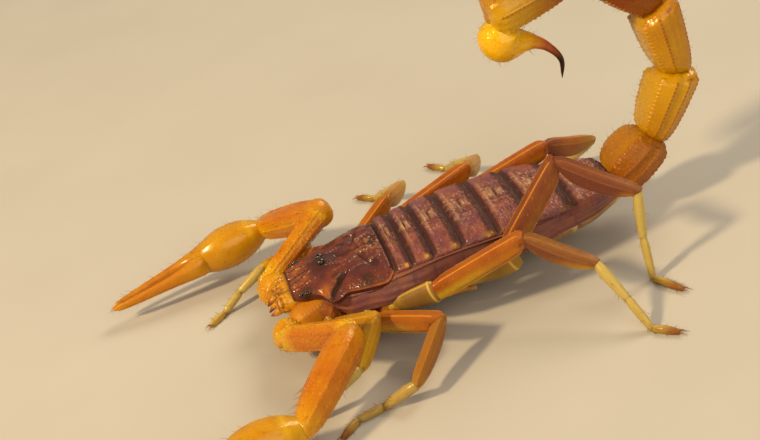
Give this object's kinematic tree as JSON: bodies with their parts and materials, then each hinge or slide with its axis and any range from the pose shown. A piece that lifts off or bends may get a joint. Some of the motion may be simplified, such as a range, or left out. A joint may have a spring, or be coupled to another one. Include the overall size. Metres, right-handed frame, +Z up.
{
  "type": "scorpion",
  "caption": "Life-size scorpion standing on its legs, pincers held forward and segmented tail arched over its back with a curved sting.",
  "frame": {"origin": "middle of the footprint of the whole animal, on the floor under its feet", "axes": "+Z up; the head points to -Y and the tail's base to +Y; the animal's left side faces +X"},
  "size_m": [0.0324, 0.0458, 0.0206],
  "materials": {
    "dark_plate": "satin chitin plate, dark red-brown with pale granules",
    "amber_shell": "glossy translucent amber chitin with granular keels",
    "brown_shell": "glossy translucent orange-brown chitin",
    "pale_shell": "pale straw-yellow translucent chitin",
    "gold_shell": "smooth glossy golden chitin",
    "sting": "hard polished chitin, red-brown to black",
    "eye": "polished black lens"
  },
  "bodies": {
    "root": {"carapace": "dark_plate", "mesosoma_1": "dark_plate", "mesosoma_2": "dark_plate", "mesosoma_3": "dark_plate", "mesosoma_4": "dark_plate", "mesosoma_5": "dark_plate", "mesosoma_6": "dark_plate", "mesosoma_7": "dark_plate", "metasoma_1": "amber_shell", "metasoma_2": "amber_shell", "metasoma_3": "amber_shell", "metasoma_4": "amber_shell", "metasoma_5": "amber_shell", "chelicera_left": "amber_shell", "chelicera_right": "amber_shell", "palp_left_trochanter": "amber_shell", "palp_left_femur": "amber_shell", "palp_left_patella": "amber_shell", "palp_left_hand": "amber_shell", "palp_left_finger": "amber_shell", "palp_right_trochanter": "amber_shell", "palp_right_femur": "amber_shell", "palp_right_patella": "amber_shell", "palp_right_hand": "amber_shell", "palp_right_finger": "amber_shell", "coxae": "brown_shell", "leg_left_1_femur": "brown_shell", "leg_left_1_patella": "brown_shell", "leg_left_2_femur": "brown_shell", "leg_left_2_patella": "brown_shell", "leg_left_3_femur": "brown_shell", "leg_left_3_patella": "brown_shell", "leg_left_4_femur": "brown_shell", "leg_left_4_patella": "brown_shell", "leg_right_1_femur": "brown_shell", "leg_right_1_patella": "brown_shell", "leg_right_2_femur": "brown_shell", "leg_right_2_patella": "brown_shell", "leg_right_3_femur": "brown_shell", "leg_right_3_patella": "brown_shell", "leg_right_4_femur": "brown_shell", "leg_right_4_patella": "brown_shell", "comb_left": "pale_shell", "comb_right": "pale_shell", "leg_left_1_foot": "pale_shell", "leg_left_2_foot": "pale_shell", "leg_left_3_foot": "pale_shell", "leg_left_4_foot": "pale_shell", "leg_right_1_foot": "pale_shell", "leg_right_2_foot": "pale_shell", "leg_right_3_foot": "pale_shell", "leg_right_4_foot": "pale_shell", "telson_vesicle": "gold_shell", "sting": "sting", "eye_left": "eye", "eye_right": "eye"}
  },
  "joints": []
}
